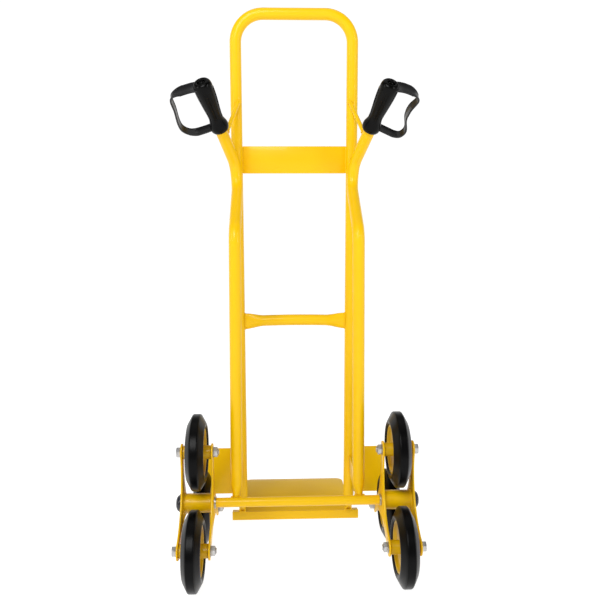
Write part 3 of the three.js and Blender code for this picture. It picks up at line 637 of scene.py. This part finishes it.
for hand, sign in hands:
    up, out, across = (other_side(way, sign) for way in (handle_up, handle_out, handle_across))
    origin = other_side(guard_origin, sign)
    line = smooth_line(guard_lines[hand], 8)
    outer, inner, outer_hollow, inner_hollow, widths = [], [], [], [], []
    for i, spot in enumerate(line):
        tangent = (line[min(i + 1, len(line) - 1)] - line[max(i - 1, 0)]).normalized()
        normal = Vector((-tangent.y, tangent.x))
        for row, offset in ((outer, 1.8), (inner, -1.8), (outer_hollow, 1.15), (inner_hollow, -1.15)):
            place = spot + normal * offset
            row.append(origin + out * place.x * mm + up * place.y * mm)
        beside_grip = min(max((66 - spot.x) / 20, 0), 1)
        widths.append(0.92 + beside_grip * (0.62 if spot.y > 50 else 0.28))
    widths += widths[::-1]
    levels = [-10, -9.5, -7.6, -6.9, 6.9, 7.6, 9.5, 10]
    outline = outer + inner[::-1]
    hollow = outer_hollow + inner_hollow[::-1]
    bpy.ops.object.select_all(action='DESELECT')
    bpy.ops.mesh.primitive_circle_add(vertices=len(outline), radius=0.1, fill_type='NGON')
    guard = bpy.context.object
    guard.name = hand + "_knuckle_guard"
    for vertex, place in zip(guard.data.vertices, outline):
        vertex.co = place + across * levels[0] * mm
    bpy.ops.object.mode_set(mode='EDIT')
    bpy.ops.mesh.select_all(action='SELECT')
    for low, high in zip(levels, levels[1:]):
        bpy.ops.mesh.extrude_region_move(TRANSFORM_OT_translate={"value": across * (high - low) * mm})
    bpy.ops.mesh.select_all(action='SELECT')
    bpy.ops.mesh.normals_make_consistent(inside=False)
    bpy.ops.object.mode_set(mode='OBJECT')
    for vertex in guard.data.vertices:
        level = (vertex.co - origin).dot(across)
        flat = vertex.co - across * level
        nearest = min(range(len(outline)), key=lambda k: (outline[k] - flat).length_squared)
        row = hollow if abs(level) < 7.2 * mm else outline
        vertex.co = row[nearest] + across * level * widths[nearest]
    finish_modifier(guard, 'BEVEL', width=0.6 * mm, segments=2, limit_method='ANGLE', angle_limit=math.radians(50))
    smooth_faces(guard, 40)
    fit_piece(guard, "frame", "guard_plastic", guard_plastic, hand + "_hand_guard")


# ---------------------------------------------------------------- wheel guards
# Flat plates welded on the front of the legs, which keep the load away from
# the turning wheels.

def rounded_corners(corners, radius, steps=6):
    """The outline through these corners of a rectangle or other convex shape, each rounded."""
    corners = [Vector(corner) for corner in corners]
    outline = []
    for i, corner in enumerate(corners):
        before = (corners[i - 1] - corner).normalized()
        after = (corners[(i + 1) % len(corners)] - corner).normalized()
        half = before.angle(after) / 2
        centre = corner + (before + after).normalized() * radius / math.sin(half)
        start = corner + before * radius / math.tan(half) - centre
        stop = corner + after * radius / math.tan(half) - centre
        outline += [centre + start.slerp(stop, k / steps, start).normalized() * radius for k in range(steps + 1)]
    return outline


for hand, sign in hands:
    low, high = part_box(hand + "_wheel_guard")
    corners = [(low.x, low.y, low.z), (high.x, low.y, low.z), (high.x, low.y, high.z), (low.x, low.y, high.z)]
    guard_plate = cut_plate(hand + "_guard_plate", rounded_corners(corners, 2 * mm, 3), (0, high.y - low.y, 0))
    fit_piece(guard_plate, "frame", "yellow_paint", yellow_paint, hand + "_wheel_guard")
    for k, z in enumerate((82, 116, 150)):
        seam = [(sign * (leg_x + 5 * mm), low.y - 0.8 * mm, height * mm) for height in (z, z + 18)]
        lay_bead(hand + "_guard_plate_weld_" + str(k + 1), seam, 1.7 * mm)


# ---------------------------------------------------------------- toe plate and its angle
# The 4 mm plate that goes under the load, with round front corners, welded
# on a steel angle that stands on the floor behind it.

toe_low, toe_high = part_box("toe_plate")
toe_corners = [(toe_low.x, toe_low.y), (toe_high.x, toe_low.y), (toe_high.x, toe_high.y), (toe_low.x, toe_high.y)]
toe_corner = 18 * mm
toe_outline = []
for i, (x, y) in enumerate(toe_corners):
    if i < 2:
        toe_outline.append(Vector((x, y, toe_low.z)))
        continue
    round_x, round_y = math.copysign(abs(x) - toe_corner, x), y - toe_corner
    for k in range(11):
        turn = (i - 2) * math.pi / 2 + k * math.pi / 20
        edge_x, edge_y = round_x + toe_corner * math.cos(turn), round_y + toe_corner * math.sin(turn)
        toe_outline.append(Vector((edge_x, edge_y, toe_low.z)))
toe = cut_plate("toe_sheet", toe_outline, (0, 0, toe_high.z - toe_low.z), 0.8 * mm)
fit_piece(toe, "frame", "yellow_paint", yellow_paint, "toe_plate")

angle_low, angle_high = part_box("toe_angle")
shelf = toe_low.z - weld_gap
angle_section = [
    (angle_low.y, 0), (angle_low.y + 3 * mm, 0), (angle_low.y + 3 * mm, shelf - 3 * mm),
    (angle_high.y, shelf - 3 * mm), (angle_high.y, shelf), (angle_low.y + 3 * mm, shelf),
    (angle_low.y + 3 * mm, angle_high.z), (angle_low.y, angle_high.z),
]
angle_outline = [Vector((angle_low.x, y, z)) for y, z in angle_section]
toe_angle = cut_plate("toe_angle_bar", angle_outline, (angle_high.x - angle_low.x, 0, 0), 0.6 * mm)
fit_piece(toe_angle, "frame", "yellow_paint", yellow_paint, "toe_angle")
for hand, sign in hands:
    foot_ring = [(sign * (leg_x + x * mm), loop_y + 7.4 * mm, 23 * mm) for x in (-8, -4, 0, 4, 8)]
    lay_bead(hand + "_foot_weld", foot_ring, 1.9 * mm)
    side_seam = [(sign * (leg_x + 8.3 * mm), loop_y + y * mm, 21.9 * mm) for y in (9, 12, 15)]
    lay_bead(hand + "_foot_side_weld", side_seam, 1.5 * mm)


# ---------------------------------------------------------------- axle
# A 20 mm tube across the frame with the loose 16 mm axle through it. Flat
# links join the legs to the feet of the rear rails, plated spacers part the
# tube from the clusters, and a domed plastic cap covers each end.

tube_end = axle_high.x / mm
axle_profile = [
    (8.3, -tube_end), (9.6, -tube_end), (10, -tube_end + 0.4),
    (10, tube_end - 0.4), (9.6, tube_end), (8.3, tube_end),
]
axle_tube = turn_piece("axle_sleeve", axle_profile, axle, (1, 0, 0), (0, 0, 1), 40)
smooth_faces(axle_tube)
fit_piece(axle_tube, "frame", "yellow_paint", yellow_paint, "axle_tube")


def make_plated_steel(name, colour, roughness, dirt):
    """Bright plated steel: metal with faint turning marks and darker bloom in patches."""
    steel = bpy.data.materials.new(name)
    steel.use_nodes = True
    tree = steel.node_tree
    shader = tree.nodes["Principled BSDF"]
    shader.inputs["Metallic"].default_value = 1.0
    place = tree.nodes.new("ShaderNodeTexCoord")
    bloom = tree.nodes.new("ShaderNodeTexNoise")
    bloom.inputs["Scale"].default_value = 160
    bloom.inputs["Detail"].default_value = 5
    tint = tree.nodes.new("ShaderNodeMix")
    tint.data_type = 'RGBA'
    tint.inputs["A"].default_value = (*(channel * dirt for channel in colour), 1)
    tint.inputs["B"].default_value = (*colour, 1)
    dull = tree.nodes.new("ShaderNodeMapRange")
    dull.inputs["To Min"].default_value = roughness + 0.12
    dull.inputs["To Max"].default_value = roughness - 0.08
    marks = tree.nodes.new("ShaderNodeTexNoise")
    marks.inputs["Scale"].default_value = 1400
    bump = tree.nodes.new("ShaderNodeBump")
    bump.inputs["Strength"].default_value = 0.15
    bump.inputs["Distance"].default_value = 0.0001
    tree.links.new(place.outputs["Object"], bloom.inputs["Vector"])
    tree.links.new(place.outputs["Object"], marks.inputs["Vector"])
    tree.links.new(bloom.outputs["Fac"], tint.inputs["Factor"])
    tree.links.new(bloom.outputs["Fac"], dull.inputs["Value"])
    tree.links.new(tint.outputs["Result"], shader.inputs["Base Color"])
    tree.links.new(dull.outputs["Result"], shader.inputs["Roughness"])
    tree.links.new(marks.outputs["Fac"], bump.inputs["Height"])
    tree.links.new(bump.outputs["Normal"], shader.inputs["Normal"])
    return steel


zinc_plate = make_plated_steel("zinc_plate", (0.66, 0.65, 0.64), 0.28, 0.5)
cap_plastic = make_rubber("cap_plastic", (0.012, 0.013, 0.02), 0.2, 0.05, 500, 0.5)

rod_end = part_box("axle_rod")[1].x / mm
rod_profile = [(0, -rod_end), (7, -rod_end), (8, -rod_end + 1), (8, rod_end - 1), (7, rod_end), (0, rod_end)]
axle_rod = turn_piece("axle_bar", rod_profile, axle, (1, 0, 0), (0, 0, 1), 32)
smooth_faces(axle_rod)
fit_piece(axle_rod, "frame", "zinc_steel", zinc_plate, "axle_rod")

for hand, sign in hands:
    way = Vector((sign, 0, 0))
    near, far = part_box(hand + "_axle_washer")
    washer_face = min(abs(near.x), abs(far.x)) / mm
    washer_end = max(abs(near.x), abs(far.x)) / mm
    washer_profile = [
        (8.3, washer_face), (11.6, washer_face), (12, washer_face + 0.4),
        (12, washer_end - 0.4), (11.6, washer_end), (8.3, washer_end),
    ]
    washer = turn_piece(hand + "_axle_spacer", washer_profile, (0, axle.y, axle.z), way, (0, 0, 1), 36)
    smooth_faces(washer)
    fit_piece(washer, "frame", "zinc_steel", zinc_plate, hand + "_axle_washer")
    near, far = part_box(hand + "_axle_cap")
    cap_face = min(abs(near.x), abs(far.x)) / mm
    cap_profile = [
        (0, 5.3), (8.3, 5.3), (8.3, 0), (19, 0), (19.8, 0.5), (20, 1.6), (19.9, 3), (19.2, 4.4), (17.9, 5.2),
        (17.3, 5.4), (17.0, 6.2), (16.0, 8.2), (14, 10), (11.2, 11.5), (8, 12.4), (4.4, 12.9), (0, 13),
    ]
    cap_profile = [(radius, cap_face + along) for radius, along in cap_profile]
    cap = turn_piece(hand + "_domed_cap", cap_profile, (0, axle.y, axle.z), way, (0, 0, 1), 48)
    smooth_faces(cap, 30)
    fit_piece(cap, "frame", "cap_plastic", cap_plastic, hand + "_axle_cap")
    near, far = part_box(hand + "_axle_link")
    link_face = sign * 127 * mm
    link_corners = ((near.y, near.z), (far.y, near.z), (far.y, far.z), (near.y, far.z))
    link_outline = [Vector((link_face, y, z)) for y, z in link_corners]
    link = cut_plate(hand + "_leg_link", link_outline, way * 5 * mm, 0.6 * mm)
    fit_piece(link, "frame", "yellow_paint", yellow_paint, hand + "_axle_link")
    for side, x in (("inner", 126.6), ("outer", 132.4)):
        for end, y in (("front", far.y + 0.6 * mm), ("rear", near.y - 0.6 * mm)):
            seam = [(sign * x * mm, y, z) for z in (near.z + 2 * mm, (near.z + far.z) / 2, far.z - 2 * mm)]
            lay_bead(hand + "_link_weld_" + end + "_" + side, seam, 1.7 * mm)


# ---------------------------------------------------------------- star plates and hub sleeves
# Each cluster has two three-armed stars cut from 3.5 mm plate. A sleeve is
# welded between them round the axle, so that they turn as one.

arm_angles = {"top": 90, "rear": 210, "front": 330}
arm_reach = 112 * mm
lobe_radius = 18 * mm
web_radius = 36 * mm
# The hollow curves touch the circle of the web and the lobes on both sides.
hollow_radius = web_radius ** 2 + arm_reach ** 2 - arm_reach * web_radius - lobe_radius ** 2
hollow_radius /= 2 * lobe_radius + arm_reach - 2 * web_radius


def star_outline(x, centre):
    """Round lobes at the bolts joined by hollow curves, as points at that x."""
    outline = []
    for angle in arm_angles.values():
        angle = math.radians(angle)
        lobe = Vector((math.cos(angle), math.sin(angle))) * arm_reach
        ways = [Vector((math.cos(angle + turn), math.sin(angle + turn))) for turn in (-math.pi / 3, math.pi / 3)]
        hollows = [way * (web_radius + hollow_radius) for way in ways]
        start, stop = ((hollow - lobe).normalized() for hollow in hollows)
        sweep = 2 * math.pi - start.angle(stop)
        for k in range(25):
            turn = math.atan2(start.y, start.x) + sweep * k / 24
            outline.append(lobe + Vector((math.cos(turn), math.sin(turn))) * lobe_radius)
        after = hollows[1]
        leave = math.atan2(lobe.y - after.y, lobe.x - after.x)
        across = 2 * (math.atan2(after.y, after.x) + math.pi - leave)
        across = (across + math.pi) % (2 * math.pi) - math.pi
        for k in range(1, 20):
            turn = leave + across * k / 20
            outline.append(after + Vector((math.cos(turn), math.sin(turn))) * hollow_radius)
    return [Vector((x, centre.y + spot.x, centre.z + spot.y)) for spot in outline]


for hand, sign in hands:
    body = hand + "_cluster"
    for side in ("inner", "outer"):
        low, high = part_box(hand + "_" + side + "_star")
        star = cut_plate(hand + "_" + side + "_star_plate", star_outline(low.x, axle), (high.x - low.x, 0, 0), 0.6 * mm)
        fit_piece(star, body, "yellow_paint", yellow_paint, hand + "_" + side + "_star")
    low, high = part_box(hand + "_hub_sleeve")
    half = (high.x - low.x) / 2 / mm
    sleeve_profile = [(8.3, -half), (19.5, -half), (20, -half + 0.5), (20, half - 0.5), (19.5, half), (8.3, half)]
    hub = Vector(((low.x + high.x) / 2, axle.y, axle.z))
    sleeve = turn_piece(hand + "_hub_tube", sleeve_profile, hub, (1, 0, 0), (0, 0, 1), 48)
    smooth_faces(sleeve)
    fit_piece(sleeve, body, "yellow_paint", yellow_paint, hand + "_hub_sleeve")
    for side, x in (("low", low.x + 0.8 * mm), ("high", high.x - 0.8 * mm)):
        bead_path = ring_path((x, axle.y, axle.z), (0, 1, 0), (0, 0, 1), 20.4 * mm, 20.4 * mm, 48)
        lay_bead(hand + "_hub_weld_" + side, bead_path, 1.6 * mm, body, True)


# ---------------------------------------------------------------- bolts, nuts and bushes
# M12 zinc-plated bolts with hexagon heads outside and nuts inside hold the
# wheels. Each wheel turns on a plastic bush clamped between the stars.

def hex_profile_cutter(name, origin, axis, face, end, chamfer_inner):
    """A turned blank that leaves a hexagon with its corners cut to 30 degrees."""
    blank, depth = 11.3, 1.5
    inner_cut, inner_rise = (depth, depth * 0.6) if chamfer_inner else (0, 0.1)
    profile = [
        (0, face), (blank - inner_cut, face), (blank, face + inner_rise),
        (blank, end - depth * 0.6), (blank - depth, end), (0, end),
    ]
    return turn_piece(name, profile, origin, axis, (0, 0, 1), 48)


def hexagon(name, origin, axis, face, end, chamfer_inner=False):
    """A hexagon 22 mm across its corners between two distances from the wheel's middle, chamfered like a forged nut."""
    bpy.ops.object.select_all(action='DESELECT')
    bpy.ops.mesh.primitive_cylinder_add(vertices=6, radius=11 * mm, depth=(end - face) * mm)
    piece = bpy.context.object
    piece.name = name
    turn = Vector(axis).to_track_quat('Z', 'Y').to_matrix().to_4x4()
    piece.data.transform(Matrix.Translation(Vector(origin) + Vector(axis) * (face + end) / 2 * mm) @ turn)
    blank = hex_profile_cutter(name + "_blank", origin, axis, face - 0.05, end + 0.02, chamfer_inner)
    finish_modifier(piece, 'BOOLEAN', operation='INTERSECT', object=blank, solver='EXACT')
    bpy.data.objects.remove(blank)
    finish_modifier(piece, 'BEVEL', width=0.25 * mm, segments=2, limit_method='ANGLE', angle_limit=math.radians(25))
    return piece


def join_into(piece, other):
    bpy.ops.object.select_all(action='DESELECT')
    other.select_set(True)
    piece.select_set(True)
    bpy.context.view_layer.objects.active = piece
    bpy.ops.object.join()


def thread(root, crest, start, stop, pitch=1.75):
    """The profile of a bolt's threaded end as rings of the thread's pitch."""
    rows = []
    reach = start
    while reach + pitch < stop:
        rows += [(root, reach), (crest, reach + pitch * 0.4), (crest, reach + pitch * 0.6)]
        reach += pitch
    return rows + [(root, reach), (root - 0.6, stop)]


collar_profile = [(6.4, 42), (8.6, 42), (8.6, 42.6), (7.9, 43.4), (6.9, 43.5), (6.4, 43)]
seat_profile = [(6.4, 33.6), (11.6, 33.6), (12, 33.95), (11.6, 34.4), (6.4, 34.4)]
bush_profile = [(6.3, -29.4), (10.1, -29.4), (10.5, -29), (10.5, 29), (10.1, 29.4), (6.3, 29.4)]
bolt_face, bolt_tip = 33.55, -45.5
flange_profile = [(r, bolt_face + a) for r, a in ((0, 0), (9.6, 0), (10, 0.3), (9.6, 0.9), (0, 0.9))]
shank_profile = [(0, bolt_tip), (5.2, bolt_tip)] + thread(5.3, 6.0, bolt_tip + 0.4, -31)[:-1]
shank_profile += [(6, -29), (6, bolt_face + 1), (0, bolt_face + 1)]
bush_plastic = make_rubber("bush_plastic", (0.06, 0.042, 0.02), 0.5, 0.15, 700, 0.4)
for hand, sign in hands:
    way = Vector((sign, 0, 0))
    for arm, angle in arm_angles.items():
        name = hand + "_" + arm
        body = hand + "_cluster"
        low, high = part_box(name + "_tyre")
        centre = (low + high) / 2
        bolt = hexagon(name + "_bolt_head", centre, way, bolt_face + 0.6, bolt_face + 9)
        flange = turn_piece(name + "_bolt_washer", flange_profile, centre, way, (0, 0, 1), 40)
        shank = turn_piece(name + "_bolt_shank", shank_profile, centre, way, (0, 0, 1), 32)
        join_into(bolt, flange)
        join_into(bolt, shank)
        smooth_faces(bolt, 25)
        fit_piece(bolt, body, "zinc_steel", zinc_plate, name + "_bolt")
        nut = hexagon(name + "_lock_nut", centre, -way, 34.2, 42.4, True)
        collar = turn_piece(name + "_nut_collar", collar_profile, centre, -way, (0, 0, 1), 36)
        seat = turn_piece(name + "_nut_washer", seat_profile, centre, -way, (0, 0, 1), 40)
        join_into(nut, collar)
        join_into(nut, seat)
        smooth_faces(nut, 25)
        fit_piece(nut, body, "zinc_steel", zinc_plate, name + "_nut")
        bush = turn_piece(name + "_bush_sleeve", bush_profile, centre, way, (0, 0, 1), 32)
        smooth_faces(bush)
        fit_piece(bush, body, "bush_plastic", bush_plastic, name + "_bush")


# ---------------------------------------------------------------- rims
# Pressed steel rims: a hub tube welded in a dished disc, and a channel at
# the edge that holds the tyre. Their coat is the frame's yellow made darker:
# painted shade for the shade that falls inside the wheel recess.

rim_half = [
    (10.8, 28.6), (13.6, 28.6), (14, 28.2), (14, 9.4), (14.6, 7.6), (16.4, 6.6), (20, 6.2), (27, 6.3), (31, 7.2),
    (34, 8.6), (37, 9.0), (40, 8.6), (43, 8.6), (45.2, 9.6), (46.2, 11.2), (46.8, 13.2), (48, 14.6), (50, 15.0),
    (51.0, 14.6),
]
rim_profile = [(r, -a) for r, a in rim_half] + [(r, a) for r, a in reversed(rim_half)]
# A darker copy of the frame's yellow: painted shade for the shadowed wheel recess, not a different paint.
rim_coat_with_painted_shade = make_powder_coat("rim_painted_shade_coat", (0.62, 0.39, 0.0), (0.56, 0.34, 0.0), 0.22)


# ---------------------------------------------------------------- tyres
# Solid rubber tyres pressed on the rims: a narrow flat tread, long sloping
# shoulders with a faint moulded line, and bulging walls with a bead line.

tyre_half = [
    (51.3, 15.4), (52.0, 16.2), (53.0, 17.2), (53.8, 17.4), (54.4, 17.2), (55.0, 17.8), (56.2, 18.5), (57.6, 18.8),
    (59.4, 18.6), (61.2, 17.9), (63, 16.9), (66, 15.2), (70, 13.0), (74, 10.7), (76.1, 9.5), (76.5, 9.1),
    (77.3, 8.75), (78.2, 7.9), (78.7, 7.1), (78.95, 6.2), (79, 5.2), (78.98, 3.2),
]
tyre_profile = [(r, -a) for r, a in tyre_half] + [(r, a) for r, a in reversed(tyre_half)]
tyre_rubber = make_rubber("tyre_rubber", (0.0015, 0.0015, 0.0016), 0.3, 0.15, 420, 0.1)
for hand, sign in hands:
    for arm in arm_angles:
        name = hand + "_" + arm
        low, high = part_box(name + "_tyre")
        centre = (low + high) / 2
        rim = turn_piece(name + "_rim_pressing", rim_profile, centre, (1, 0, 0), (0, 0, 1), 72)
        smooth_faces(rim, 40)
        fit_piece(rim, name + "_wheel", "yellow_paint", rim_coat_with_painted_shade, name + "_rim")
        tyre = turn_piece(name + "_tyre_ring", tyre_profile, centre, (1, 0, 0), (0, 0, 1), 96)
        smooth_faces(tyre, 30)
        fit_piece(tyre, name + "_wheel", "tyre_rubber", tyre_rubber, name + "_tyre")


# ---------------------------------------------------------------- size and finish

low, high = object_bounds()
